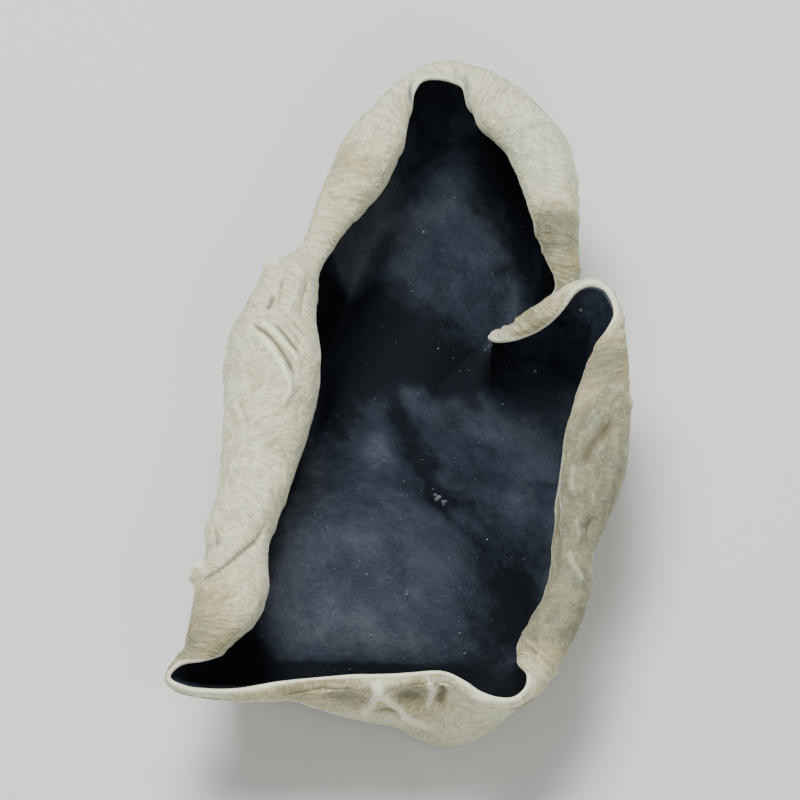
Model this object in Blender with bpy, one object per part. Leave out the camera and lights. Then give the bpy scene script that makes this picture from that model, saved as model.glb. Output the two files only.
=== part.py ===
"""One dried wood ear mushroom, lying on its back with its dark spore face up.

The fruit body grew as one leathery sheet and dried as one: a shallow bowl with a swollen
floor, whose felted margin has rolled in over the dark face. Where two stretches of rolled
margin meet, the sheet is pinched into a spout. It grew from the stub at its front, which is
cut off flat, and it rests on that cut and on the low folds of its back.

Sizes are in millimetres, and turned to metres at the end. X runs across the ear, Y from the
stub towards the far lobe, and Z up. The origin is the middle of the footprint.
"""

import math

import bmesh
import bpy
import numpy as np
from mathutils import Matrix

MM = 0.001

# The flesh
FLOOR_FLESH = 1.3  # thickness of the dried sheet in the floor
RIM_FLESH = 0.9  # at the top of the wall
EDGE_FLESH = 0.5  # at the free edge
FELT_COLOUR = (0.46, 0.42, 0.35, 1.0)
FELT_ROUGHNESS = 0.9

# The mesh: faces round the ear, and rings of faces in each stretch out from the middle
STATIONS = 106
FLOOR_RINGS = 8
WALL_RINGS = 6
ROLL_RINGS = 8
SHEET_RINGS = FLOOR_RINGS + WALL_RINGS + ROLL_RINGS

# The margin, clockwise from the front left spout as seen from above. Each row is the middle of
# the roll (x, y, z), its radius to the middle of the flesh, and the part of a turn that the
# sheet follows round it, in degrees up from the roll's outermost point.
MARGIN = [
    (-19.0, -28.4, 12.2, 0.8, -60, 15),  # front left spout
    (-17.5, -27.0, 12.4, 0.95, -50, 115),
    (-15.8, -24.5, 12.8, 1.8, -30, 220),
    (-14.4, -21.0, 13.0, 2.6, -20, 250),
    (-14.0, -16.5, 13.0, 2.6, -20, 255),
    (-12.8, -11.0, 13.0, 2.6, -20, 255),
    (-11.8, -6.3, 13.0, 3.2, -20, 255),
    (-11.3, -1.8, 13.2, 3.8, -20, 255),
    (-10.9, 2.6, 13.5, 3.8, -20, 255),
    (-10.4, 5.6, 13.8, 3.1, -20, 255),
    (-9.7, 8.3, 14.2, 2.3, -20, 250),
    (-9.1, 10.1, 14.5, 1.8, -20, 240),  # shoulder, where the roll narrows
    (-8.0, 11.5, 14.6, 0.9, -20, 220),
    (-7.0, 13.2, 14.7, 0.9, -20, 220),
    (-6.0, 15.6, 14.8, 1.5, -20, 240),
    (-4.0, 19.4, 14.8, 2.3, -20, 250),
    (-2.1, 23.4, 14.6, 2.2, -20, 240),
    (-0.4, 27.1, 14.6, 1.3, -30, 200),
    (1.4, 29.2, 14.7, 1.0, -45, 90),
    (3.6, 29.9, 14.7, 1.5, -50, 100),  # far notch, where the dark face runs out
    (6.2, 29.5, 14.7, 1.4, -45, 130),
    (8.7, 27.3, 14.5, 2.2, -25, 240),
    (11.4, 24.5, 14.2, 2.2, -20, 250),
    (12.9, 20.8, 14.0, 2.2, -20, 250),
    (13.7, 17.0, 13.8, 1.8, -20, 250),
    (13.9, 14.0, 13.6, 1.5, -20, 230),
    (14.3, 12.2, 12.9, 1.1, -20, 150),
    (14.1, 11.1, 11.0, 1.0, -20, 70),
    (12.8, 10.6, 8.7, 1.0, -15, 45),
    (10.8, 9.9, 6.7, 0.9, -10, 40),
    (8.8, 8.9, 5.9, 0.9, -10, 40),
    (7.6, 7.4, 6.9, 0.9, -10, 40),  # inner end of the fold in the right side
    (8.3, 5.8, 9.4, 0.9, -10, 70),
    (10.2, 5.4, 11.8, 0.8, -20, 120),
    (12.4, 6.2, 13.4, 0.85, -20, 150),
    (14.5, 7.3, 14.3, 0.85, -30, 110),
    (15.9, 7.8, 14.8, 0.9, -40, 60),
    (17.3, 7.6, 15.1, 0.9, -40, 30),  # right spout
    (18.1, 5.8, 15.0, 0.9, -40, 30),
    (18.3, 3.2, 14.7, 1.0, -40, 130),
    (17.9, 0.3, 14.2, 1.7, -25, 230),
    (17.4, -3.8, 13.6, 2.25, -20, 250),
    (16.4, -8.8, 13.2, 2.35, -20, 250),
    (15.6, -12.8, 13.0, 2.05, -20, 250),
    (14.8, -17.0, 13.0, 1.5, -20, 240),
    (14.2, -21.4, 13.0, 1.5, -20, 240),
    (12.5, -25.0, 13.0, 1.7, -25, 230),
    (11.5, -27.5, 13.0, 1.35, -30, 185),
    (10.9, -29.4, 13.0, 0.9, -35, 80),
    (9.4, -30.5, 13.0, 0.9, -35, 30),  # front right spout
    (7.0, -30.0, 13.2, 0.9, -25, 25),
    (4.0, -28.7, 13.8, 0.9, -5, 45),
    (-0.4, -28.8, 13.5, 0.9, -8, 50),
    (-5.0, -28.8, 13.2, 0.9, -12, 50),
    (-9.4, -29.0, 12.9, 0.9, -22, 45),
    (-13.2, -29.4, 12.7, 0.9, -32, 30),
    (-16.4, -29.3, 12.5, 0.8, -40, 20),
]
# The edge of the floor, where the wall starts: the place among the rows above, and x and y.
FLOOR_EDGE = [
    (0, -12.2, -20.6),
    (2, -12.4, -18.0),
    (4, -12.4, -14.5),
    (6, -10.6, -6.5),
    (8, -9.6, 2.0),
    (10, -8.2, 8.0),
    (13, -5.0, 13.5),
    (16, -0.8, 22.0),
    (19, 3.6, 25.0),
    (22, 9.4, 22.0),
    (25, 11.4, 16.4),
    (27, 11.4, 14.2),
    (29, 9.6, 11.8),
    (31, 5.4, 7.4),  # round the inner end of the fold
    (33, 9.8, 2.0),
    (35, 12.6, 1.4),
    (37, 14.6, 0.4),
    (39, 15.4, -1.6),
    (42, 15.0, -8.6),
    (45, 12.6, -19.0),
    (49, 9.4, -26.0),
    (52, 1.2, -26.6),
    (55, -8.5, -22.8),
]
EDGE_ROUNDING = 0.8  # rows of the margin over which that edge is rounded off
CENTRE = (-4.0, 0.5, 0.3)  # the point that the floor is laid out from, its height as it starts
ROLL_HEIGHT = 0.85  # height of the roll's section over its width
ROLL_TIGHTENS = 0.35  # share of its radius that a roll loses over its second half turn
FOOT_ROUNDING = 0.6  # share of the wall's lean over which the floor curves up into it
WALL_DROP = 0.5  # share of its height over which the wall keeps the roll's direction
SETTLING = 12  # passes that ease the creases of the floor and the walls
MIDDLE_WAVES = (1, 1, 2, 3, 5, 7, 9)  # waves left round each of the first rings from the middle

# Swellings of the floor: middle x and y, half widths along x and y, height
FLOOR_FORMS = [
    (-0.5, -13.5, 13.0, 11.5, 6.8),  # cushion in the front part
    (0.5, 3.0, 8.0, 6.0, 1.5),  # low rise in the waist
    (1.4, 17.5, 8.0, 8.0, 4.8),  # lower cushion in the far lobe
    (-11.5, -10.5, 3.6, 12.0, 4.2),  # and what runs on from both under the left roll
    (-2.0, 15.0, 4.0, 5.0, 1.2),
]

# Folds of the wall: place among the rows of the margin, half width in rows, and how far the
# wall sinks inwards there, or bulges outwards if it is less than nothing
WALL_FOLDS = [
    (2.0, 1.0, -0.5),
    (4.2, 0.9, 0.8),
    (6.6, 1.1, -0.6),
    (8.9, 0.8, 0.7),
    (11.6, 1.0, 0.9),
    (14.0, 1.0, -0.5),
    (16.6, 0.8, 0.8),
    (20.6, 0.9, -0.5),
    (22.6, 0.8, 0.8),
    (40.2, 0.9, -0.6),
    (42.0, 0.7, 0.9),
    (44.2, 0.8, -0.5),
    (46.4, 0.8, 0.8),
    (50.6, 0.8, -0.9),
    (52.8, 0.7, -0.5),
    (54.6, 0.7, 0.7),
]
FLOOR_FOLD = 0.35  # share of a wall fold's depth that runs on across the floor

# The stub, and how the back lies on the table
STUB = (3.8, -24.4)  # middle of the flat cut
STUB_RADIUS = 3.8  # of the flat cut
STUB_FLARE = 7.5  # radius at which the stub has run out into the back
STUB_FOOT = 4.5  # height below which all that lies in its radius is drawn down flat
STUB_HEIGHT = 10.5  # height at which it has run out into the wall
PRESSED = 0.05  # how far the lowest folds are pressed flat


def smooth_step(low, high, value):
    share = np.clip((value - low) / (high - low), 0.0, 1.0)
    return share * share * (3.0 - 2.0 * share)


def unit(vectors):
    return vectors / np.maximum(np.linalg.norm(vectors, axis=-1, keepdims=True), 1e-9)


def margin_rows():
    """The table of the margin at each station, on a smooth closed curve through its rows."""
    rows = np.array(MARGIN, float)
    place = np.arange(STATIONS) / STATIONS * len(rows)
    index = place.astype(int)
    share = (place - index)[:, None]
    before, here, after, beyond = (rows[(index + step) % len(rows)] for step in (-1, 0, 1, 2))
    linear = (after - before) * share
    square = (2 * before - 5 * here + 4 * after - beyond) * share**2
    cube = (3 * here - before - 3 * after + beyond) * share**3
    return (here + (linear + square + cube) / 2)[:, None, :]


def floor_edge():
    """The edge of the floor at each station, its corners rounded off."""
    places, across, along = np.array(FLOOR_EDGE).T
    rows = len(MARGIN)
    station = np.arange(STATIONS) / STATIONS * rows
    edge = np.full((STATIONS, 3), CENTRE[2])
    edge[:, 0] = np.interp(station, places, across, period=rows)
    edge[:, 1] = np.interp(station, places, along, period=rows)
    wide = EDGE_ROUNDING * STATIONS / rows
    steps = range(-int(3 * wide), int(3 * wide) + 1)
    weights = [math.exp(-((step / wide) ** 2) / 2) for step in steps]
    rounded = sum(weight * np.roll(edge, step, axis=0) for step, weight in zip(steps, weights))
    return (rounded / sum(weights))[:, None, :]


def section_axes(course):
    """Unit vectors square to a closed course of points: level and out of the ear, and upward."""
    along = np.roll(course, -1, axis=0) - np.roll(course, 1, axis=0)
    outward = unit(np.stack([-along[..., 1], along[..., 0], 0 * along[..., 0]], axis=-1))
    return outward, unit(np.cross(along, outward))


def bezier(start, low, high, end, share):
    rest = 1 - share
    return rest**3 * start + 3 * rest**2 * share * low + 3 * rest * share**2 * high + share**3 * end


def shares(rings):
    return np.linspace(0, 1, rings + 1)[None, :, None]


def flat_sheet():
    """The middle of the flesh: for each station, points out from the middle of a level floor,
    up the wall and round the roll to the free edge."""
    rows, foot = margin_rows(), floor_edge()
    axis, radius = rows[..., :3], rows[..., 3:4]
    start, end = np.radians(rows[..., 4:5]), np.radians(rows[..., 5:6])
    outward, up = section_axes(axis)

    angle = start + (end - start) * shares(ROLL_RINGS)
    tight = radius * (1 - ROLL_TIGHTENS * np.clip(angle / math.pi - 1, 0, 1))
    roll = axis + tight * (np.cos(angle) * outward + ROLL_HEIGHT * np.sin(angle) * up)

    top = roll[:, :1]
    climb = np.cos(start) * up - np.sin(start) * outward
    low = foot + (top - foot) * (FOOT_ROUNDING, FOOT_ROUNDING, 0)
    high = top - climb * (top - foot)[..., 2:] * WALL_DROP
    wall = bezier(foot, low, high, top, shares(WALL_RINGS))
    floor = CENTRE + (foot - CENTRE) * shares(FLOOR_RINGS)
    return np.concatenate([floor, wall[:, 1:], roll[:, 1:]], axis=1)


def settle(points):
    """Eases the creases of the floor and the walls, and leaves the roll as it is."""
    walls = FLOOR_RINGS + WALL_RINGS
    ease = 0.5 - 0.5 * smooth_step(0.75 * walls, walls, np.arange(SHEET_RINGS + 1))[:, None]
    for _ in range(SETTLING):
        points[:, 0, 2] = points[:, 1, 2].mean()
        across = np.roll(points[:, 1:2], STATIONS // 2, axis=0)
        inward = np.concatenate([across, points[:, :-1]], axis=1)
        onward = np.concatenate([points[:, 1:], points[:, -1:]], axis=1)
        beside = np.roll(points, 1, axis=0) + np.roll(points, -1, axis=0)
        moved = ((inward + onward + beside) / 4 - points) * ease
        moved[:, 0, :2] = 0
        points = points + moved
    return points


def calm_middle(points):
    """Leaves each ring near the middle only the broad waves that a smooth floor has there."""
    for ring, waves in enumerate(MIDDLE_WAVES, start=1):
        spectrum = np.fft.rfft(points[:, ring], axis=0)
        spectrum[waves + 1 :] = 0
        points[:, ring] = np.fft.irfft(spectrum, STATIONS, axis=0)
    points[:, 0] = points[:, 1].mean(axis=0)
    return points


def normals_of(sheet):
    """Unit normals of the sheet, towards its dark face."""
    out = np.gradient(sheet, axis=1)
    beside = np.roll(sheet, -1, axis=0) - np.roll(sheet, 1, axis=0)
    normals = unit(np.cross(beside, out))
    return unit(calm_middle(settle(normals)))


def floor_relief(sheet):
    """Height of the swellings of the floor, which die away as the wall starts."""
    height = np.zeros(sheet.shape[:2])
    for across, along, wide, long, rise in FLOOR_FORMS:
        apart = ((sheet[..., 0] - across) / wide) ** 2 + ((sheet[..., 1] - along) / long) ** 2
        height += rise * np.exp(-(apart**2))
    ring = np.arange(SHEET_RINGS + 1)
    return height * (1 - smooth_step(0.8 * FLOOR_RINGS, FLOOR_RINGS + 0.5 * WALL_RINGS, ring))


def fold_depth():
    """How far the folds of the wall sink inwards, deepest halfway up."""
    rows = len(MARGIN)
    station = np.arange(STATIONS) / STATIONS * rows
    depth = np.zeros(STATIONS)
    for place, wide, deep in WALL_FOLDS:
        apart = (station - place + rows / 2) % rows - rows / 2
        depth += deep * np.exp(-((apart / wide) ** 2))
    ring = np.arange(SHEET_RINGS + 1)
    floor = smooth_step(0.3 * FLOOR_RINGS, FLOOR_RINGS, ring) * FLOOR_FOLD
    wall = smooth_step(FLOOR_RINGS, FLOOR_RINGS + 0.4 * WALL_RINGS, ring) * (1 - FLOOR_FOLD)
    rim = smooth_step(FLOOR_RINGS + 0.6 * WALL_RINGS, FLOOR_RINGS + WALL_RINGS, ring)
    return depth[:, None] * (floor + wall) * (1 - rim)


def middle_of_flesh():
    sheet = flat_sheet()
    sheet[..., 2] += floor_relief(sheet)
    sheet = calm_middle(settle(sheet))
    sheet += normals_of(sheet) * fold_depth()[..., None]
    sheet[..., 2] = np.maximum(sheet[..., 2], FLOOR_FLESH / 2 - PRESSED)
    return sheet


def rest_on_table(back):
    """Draws the back down to the flat cut of the stub, and presses its lowest folds flat."""
    away = np.hypot(back[..., 0] - STUB[0], back[..., 1] - STUB[1])
    height = back[..., 2]
    near = 1 - smooth_step(STUB_RADIUS, STUB_FLARE, away)
    low = 1 - smooth_step(STUB_FOOT, STUB_HEIGHT, height)
    back[..., 2] = np.maximum(height * (1 - near * low), 0)
    return back


def ear_points():
    """Rings of points from the middle of the dark face, over the free edge, to the back."""
    sheet = middle_of_flesh()
    stages = (0, FLOOR_RINGS, FLOOR_RINGS + WALL_RINGS, SHEET_RINGS)
    flesh = (FLOOR_FLESH, FLOOR_FLESH, RIM_FLESH, EDGE_FLESH)
    half = np.interp(np.arange(SHEET_RINGS + 1), stages, flesh)[:, None] / 2
    offset = normals_of(sheet) * half
    dark, back = sheet + offset, rest_on_table(sheet - offset)
    edge = sheet[:, -1:] + unit(sheet[:, -1:] - sheet[:, -2:-1]) * EDGE_FLESH / 2
    points = np.concatenate([dark, edge, back[:, ::-1]], axis=1)
    outline = points[..., :2].reshape(-1, 2)
    points[..., :2] -= (outline.min(axis=0) + outline.max(axis=0)) / 2
    return points


def make_material():
    felt = bpy.data.materials.new("felt")
    felt.use_nodes = True
    shader = felt.node_tree.nodes["Principled BSDF"]
    shader.inputs["Base Color"].default_value = FELT_COLOUR
    shader.inputs["Roughness"].default_value = FELT_ROUGHNESS
    shader.inputs["Metallic"].default_value = 0.0
    return felt


def make_fruit_body():
    """Lays the rings of a ball over the ear: its north is the dark face, its equator the free
    edge, and its south the back."""
    points = ear_points()
    rings = points.shape[1] - 1
    ball = bmesh.new()
    bmesh.ops.create_uvsphere(ball, u_segments=STATIONS, v_segments=rings, radius=1.0)
    for vertex in ball.verts:
        ring = round(math.acos(max(-1, min(1, vertex.co.z))) / math.pi * rings)
        station = round(-math.atan2(vertex.co.y, vertex.co.x) / math.tau * STATIONS) % STATIONS
        vertex.co = points[station, ring]
    mesh = bpy.data.meshes.new("fruit_body")
    ball.to_mesh(mesh)
    ball.free()
    mesh.transform(Matrix.Scale(MM, 4))
    mesh.shade_smooth()
    mesh.materials.append(make_material())
    ear = bpy.data.collections.new("dried_wood_ear")
    bpy.context.scene.collection.children.link(ear)
    ear.objects.link(bpy.data.objects.new("fruit_body", mesh))


for thing in list(bpy.data.objects):
    bpy.data.objects.remove(thing)
make_fruit_body()
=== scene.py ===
"""The look of one dried wood ear mushroom, lying on its back with its dark spore face up."""

import math
import random

import bpy
import numpy as np
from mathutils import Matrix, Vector, noise
from mathutils.bvhtree import BVHTree


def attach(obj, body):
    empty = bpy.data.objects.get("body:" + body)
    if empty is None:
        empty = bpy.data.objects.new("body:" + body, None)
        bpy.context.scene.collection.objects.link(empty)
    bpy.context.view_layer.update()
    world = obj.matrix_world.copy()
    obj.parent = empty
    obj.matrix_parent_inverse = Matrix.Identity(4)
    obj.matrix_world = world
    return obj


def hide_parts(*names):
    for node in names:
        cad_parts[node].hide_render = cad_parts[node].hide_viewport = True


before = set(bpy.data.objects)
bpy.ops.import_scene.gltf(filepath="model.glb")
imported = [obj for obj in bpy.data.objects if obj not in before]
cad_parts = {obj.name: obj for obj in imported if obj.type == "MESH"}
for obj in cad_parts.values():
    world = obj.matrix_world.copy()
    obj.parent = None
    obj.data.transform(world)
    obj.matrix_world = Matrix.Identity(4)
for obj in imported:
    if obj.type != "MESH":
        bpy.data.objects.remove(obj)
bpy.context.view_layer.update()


# ---- The sheet ---------------------------------------------------------------------------
# The fruit body is one leathery sheet that grew round its stub and dried as one: a shallow
# bowl with a swollen floor, whose margin rolled in over the dark face as it lost its water.
# Its shape is laid out in millimetres, ring by ring, from the middle of the floor outwards.

FLOOR_FLESH = 1.3  # thickness of the dried sheet in the floor
RIM_FLESH = 0.9  # at the top of the wall
EDGE_FLESH = 0.5  # at the free edge

STATIONS = 106  # steps round the ear
FLOOR_RINGS = 8  # and steps outwards: in the floor, up the wall and round the roll
WALL_RINGS = 6
ROLL_RINGS = 8
SHEET_RINGS = FLOOR_RINGS + WALL_RINGS + ROLL_RINGS

# The margin, clockwise from the front left spout as seen from above. Each row is the middle of
# the roll (x, y, z), its radius to the middle of the flesh, and the part of a turn that the
# sheet follows round it, in degrees up from the roll's outermost point.
MARGIN = [
    (-19.0, -28.4, 12.2, 0.8, -60, 15),  # front left spout
    (-17.5, -27.0, 12.4, 0.95, -50, 115),
    (-15.8, -24.5, 12.8, 1.8, -30, 220),
    (-14.4, -21.0, 13.0, 2.6, -20, 250),
    (-14.0, -16.5, 13.0, 2.6, -20, 255),
    (-12.8, -11.0, 13.0, 2.6, -20, 255),
    (-11.8, -6.3, 13.0, 3.2, -20, 255),
    (-11.3, -1.8, 13.2, 3.8, -20, 255),
    (-10.9, 2.6, 13.5, 3.8, -20, 255),
    (-10.4, 5.6, 13.8, 3.1, -20, 255),
    (-9.7, 8.3, 14.2, 2.3, -20, 250),
    (-9.1, 10.1, 14.5, 1.8, -20, 240),  # shoulder, where the roll narrows
    (-8.0, 11.5, 14.6, 0.9, -20, 220),
    (-7.0, 13.2, 14.7, 0.9, -20, 220),
    (-6.0, 15.6, 14.8, 1.5, -20, 240),
    (-4.0, 19.4, 14.8, 2.3, -20, 250),
    (-2.1, 23.4, 14.6, 2.2, -20, 240),
    (-0.4, 27.1, 14.6, 1.3, -30, 200),
    (1.4, 29.2, 14.7, 1.0, -45, 90),
    (3.6, 29.9, 14.7, 1.5, -50, 100),  # far notch, where the dark face runs out
    (6.2, 29.5, 14.7, 1.4, -45, 130),
    (8.7, 27.3, 14.5, 2.2, -25, 240),
    (11.4, 24.5, 14.2, 2.2, -20, 250),
    (12.9, 20.8, 14.0, 2.2, -20, 250),
    (13.7, 17.0, 13.8, 1.8, -20, 250),
    (13.9, 14.0, 13.6, 1.5, -20, 230),
    (14.3, 12.2, 12.9, 1.1, -20, 150),
    (14.1, 11.1, 11.0, 1.0, -20, 70),
    (12.8, 10.6, 8.7, 1.0, -15, 45),
    (10.8, 9.9, 6.7, 0.9, -10, 40),
    (8.8, 8.9, 5.9, 0.9, -10, 40),
    (7.6, 7.4, 6.9, 0.9, -10, 40),  # inner end of the fold in the right side
    (8.3, 5.8, 9.4, 0.9, -10, 70),
    (10.2, 5.4, 11.8, 0.8, -20, 120),
    (12.4, 6.2, 13.4, 0.85, -20, 150),
    (14.5, 7.3, 14.3, 0.85, -30, 110),
    (15.9, 7.8, 14.8, 0.9, -40, 60),
    (17.3, 7.6, 15.1, 0.9, -40, 30),  # right spout
    (18.1, 5.8, 15.0, 0.9, -40, 30),
    (18.3, 3.2, 14.7, 1.0, -40, 130),
    (17.9, 0.3, 14.2, 1.7, -25, 230),
    (17.4, -3.8, 13.6, 2.25, -20, 250),
    (16.4, -8.8, 13.2, 2.35, -20, 250),
    (15.6, -12.8, 13.0, 2.05, -20, 250),
    (14.8, -17.0, 13.0, 1.5, -20, 240),
    (14.2, -21.4, 13.0, 1.5, -20, 240),
    (12.5, -25.0, 13.0, 1.7, -25, 230),
    (11.5, -27.5, 13.0, 1.35, -30, 185),
    (10.9, -29.4, 13.0, 0.9, -35, 80),
    (9.4, -30.5, 13.0, 0.9, -35, 30),  # front right spout
    (7.0, -30.0, 13.2, 0.9, -25, 25),
    (4.0, -28.7, 13.8, 0.9, -5, 45),
    (-0.4, -28.8, 13.5, 0.9, -8, 50),
    (-5.0, -28.8, 13.2, 0.9, -12, 50),
    (-9.4, -29.0, 12.9, 0.9, -22, 45),
    (-13.2, -29.4, 12.7, 0.9, -32, 30),
    (-16.4, -29.3, 12.5, 0.8, -40, 20),
]

# The edge of the floor, where the wall starts: the place among the rows above, and x and y
FLOOR_EDGE = [
    (0, -12.2, -20.6),
    (2, -12.4, -18.0),
    (4, -12.4, -14.5),
    (6, -10.6, -6.5),
    (8, -9.6, 2.0),
    (10, -8.2, 8.0),
    (13, -5.0, 13.5),
    (16, -0.8, 22.0),
    (19, 3.6, 25.0),
    (22, 9.4, 22.0),
    (25, 11.4, 16.4),
    (27, 11.4, 14.2),
    (29, 9.6, 11.8),
    (31, 5.4, 7.4),  # round the inner end of the fold
    (33, 9.8, 2.0),
    (35, 12.6, 1.4),
    (37, 14.6, 0.4),
    (39, 15.4, -1.6),
    (42, 15.0, -8.6),
    (45, 12.6, -19.0),
    (49, 9.4, -26.0),
    (52, 1.2, -26.6),
    (55, -8.5, -22.8),
]
ROWS = len(MARGIN)
STATION_ROWS = np.arange(STATIONS) / STATIONS * ROWS  # the place of each station among the rows
EDGE_ROUNDING = 0.8  # rows of the margin over which the edge of the floor is rounded off
CENTRE = (-4.0, 0.5, 0.3)  # the point that the floor is laid out from, its height as it starts
ROLL_HEIGHT = 0.85  # height of the roll's section over its width
ROLL_TIGHTENS = 0.35  # share of its radius that a roll loses over its second half turn
FOOT_ROUNDING = 0.6  # share of the wall's lean over which the floor curves up into it
WALL_DROP = 0.5  # share of its height over which the wall keeps the roll's direction
SETTLING = 12  # passes that ease the creases of the floor and the walls
EASE = 0.5  # share of the way to its neighbours that each pass draws a point
EASED = 0.75  # share of the rings up to the top of the wall that are eased in full
MIDDLE_WAVES = (1, 1, 2, 3, 5, 7, 9)  # waves left round each of the first rings from the middle

# Swellings of the floor: middle x and y, half widths along x and y, height
FLOOR_FORMS = [
    (-0.5, -13.5, 13.0, 11.5, 6.8),  # cushion in the front part
    (0.5, 3.0, 8.0, 6.0, 1.5),  # low rise in the waist
    (1.4, 17.5, 8.0, 8.0, 4.8),  # lower cushion in the far lobe
    (-11.5, -10.5, 3.6, 12.0, 4.2),  # and what runs on from both under the left roll
    (-2.0, 15.0, 4.0, 5.0, 1.2),
]
FORMS_FADE = (0.8, 0.5)  # they fade from this share of the floor's rings to this of the wall's

# Folds of the wall: place among the rows of the margin, half width in rows, and how far the
# wall sinks inwards there, or bulges outwards if it is less than nothing
WALL_FOLDS = [
    (2.0, 1.0, -0.5),
    (4.2, 0.9, 0.8),
    (6.6, 1.1, -0.6),
    (8.9, 0.8, 0.7),
    (11.6, 1.0, 0.9),
    (14.0, 1.0, -0.5),
    (16.6, 0.8, 0.8),
    (20.6, 0.9, -0.5),
    (22.6, 0.8, 0.8),
    (40.2, 0.9, -0.6),
    (42.0, 0.7, 0.9),
    (44.2, 0.8, -0.5),
    (46.4, 0.8, 0.8),
    (50.6, 0.8, -0.9),
    (52.8, 0.7, -0.5),
    (54.6, 0.7, 0.7),
]
FLOOR_FOLD = 0.35  # share of a wall fold's depth that runs on across the floor
FOLD_START = 0.3  # share of the floor's rings at which it starts
FOLD_DEEPEST = (0.4, 0.6)  # shares of the wall's rings between which it is deepest

# The stub, and how the back lies on the table
STUB = (3.8, -24.4)  # middle of the flat cut
STUB_RADIUS = 3.8  # of the flat cut
STUB_FLARE = 7.5  # radius at which the stub has run out into the back
STUB_FOOT = 4.5  # height below which all that lies in its radius is drawn down flat
STUB_HEIGHT = 10.5  # height at which it has run out into the wall
PRESSED = 0.05  # how far the lowest folds are pressed flat


def smooth_step(low, high, value):
    share = np.clip((value - low) / (high - low), 0.0, 1.0)
    return share * share * (3.0 - 2.0 * share)


def unit(vectors):
    return vectors / np.maximum(np.linalg.norm(vectors, axis=-1, keepdims=True), 1e-9)


def curve_between(before, here, after, beyond, share):
    """Places on a smooth curve, which runs from here to after as the share goes from 0 to 1."""
    linear = (after - before) * share
    square = (2 * before - 5 * here + 4 * after - beyond) * share**2
    cube = (3 * here - before - 3 * after + beyond) * share**3
    return here + (linear + square + cube) / 2


def margin_rows():
    """The table of the margin at each station, on a smooth closed curve through its rows."""
    rows = np.array(MARGIN, float)
    index = STATION_ROWS.astype(int)
    share = (STATION_ROWS - index)[:, None]
    four = (rows[(index + step) % ROWS] for step in (-1, 0, 1, 2))
    return curve_between(*four, share)[:, None, :]


def floor_edge():
    """The edge of the floor at each station, its corners rounded off."""
    row, across, along = np.array(FLOOR_EDGE).T
    edge = np.full((STATIONS, 3), CENTRE[2])
    edge[:, 0] = np.interp(STATION_ROWS, row, across, period=ROWS)
    edge[:, 1] = np.interp(STATION_ROWS, row, along, period=ROWS)
    wide = EDGE_ROUNDING * STATIONS / ROWS
    steps = range(-int(3 * wide), int(3 * wide) + 1)
    weights = [math.exp(-((step / wide) ** 2) / 2) for step in steps]
    rounded = sum(weight * np.roll(edge, step, axis=0) for step, weight in zip(steps, weights))
    return (rounded / sum(weights))[:, None, :]


def section_axes(course):
    """Unit vectors square to a closed course of points: level and out of the ear, and upward."""
    along = np.roll(course, -1, axis=0) - np.roll(course, 1, axis=0)
    outward = unit(np.stack([-along[..., 1], along[..., 0], 0 * along[..., 0]], axis=-1))
    return outward, unit(np.cross(along, outward))


def bezier(start, low, high, end, share):
    rest = 1 - share
    return rest**3 * start + 3 * rest**2 * share * low + 3 * rest * share**2 * high + share**3 * end


def shares(rings):
    return np.linspace(0, 1, rings + 1)[None, :, None]


def flat_sheet():
    """The middle of the flesh: for each station, points out from the middle of a level floor,
    up the wall and round the roll to the free edge."""
    rows, foot = margin_rows(), floor_edge()
    axis, radius = rows[..., :3], rows[..., 3:4]
    start, end = np.radians(rows[..., 4:5]), np.radians(rows[..., 5:6])
    outward, up = section_axes(axis)

    angle = start + (end - start) * shares(ROLL_RINGS)
    tight = radius * (1 - ROLL_TIGHTENS * np.clip(angle / math.pi - 1, 0, 1))
    roll = axis + tight * (np.cos(angle) * outward + ROLL_HEIGHT * np.sin(angle) * up)

    top = roll[:, :1]
    climb = np.cos(start) * up - np.sin(start) * outward
    low = foot + (top - foot) * (FOOT_ROUNDING, FOOT_ROUNDING, 0)
    high = top - climb * (top - foot)[..., 2:] * WALL_DROP
    wall = bezier(foot, low, high, top, shares(WALL_RINGS))
    floor = CENTRE + (foot - CENTRE) * shares(FLOOR_RINGS)
    return np.concatenate([floor, wall[:, 1:], roll[:, 1:]], axis=1)


def settle(points):
    """Eases the creases of the floor and the walls, and leaves the roll as it is."""
    walls = FLOOR_RINGS + WALL_RINGS
    ease = EASE * (1 - smooth_step(EASED * walls, walls, np.arange(SHEET_RINGS + 1)))[:, None]
    for _ in range(SETTLING):
        points[:, 0, 2] = points[:, 1, 2].mean()
        across = np.roll(points[:, 1:2], STATIONS // 2, axis=0)
        inward = np.concatenate([across, points[:, :-1]], axis=1)
        onward = np.concatenate([points[:, 1:], points[:, -1:]], axis=1)
        beside = np.roll(points, 1, axis=0) + np.roll(points, -1, axis=0)
        moved = ((inward + onward + beside) / 4 - points) * ease
        moved[:, 0, :2] = 0
        points = points + moved
    return points


def calm_middle(points):
    """Leaves each ring near the middle only the broad waves that a smooth floor has there."""
    for ring, waves in enumerate(MIDDLE_WAVES, start=1):
        spectrum = np.fft.rfft(points[:, ring], axis=0)
        spectrum[waves + 1 :] = 0
        points[:, ring] = np.fft.irfft(spectrum, STATIONS, axis=0)
    points[:, 0] = points[:, 1].mean(axis=0)
    return points


def normals_of(sheet):
    """Unit normals of the sheet, towards its dark face."""
    out = np.gradient(sheet, axis=1)
    beside = np.roll(sheet, -1, axis=0) - np.roll(sheet, 1, axis=0)
    normals = unit(np.cross(beside, out))
    return unit(calm_middle(settle(normals)))


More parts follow.
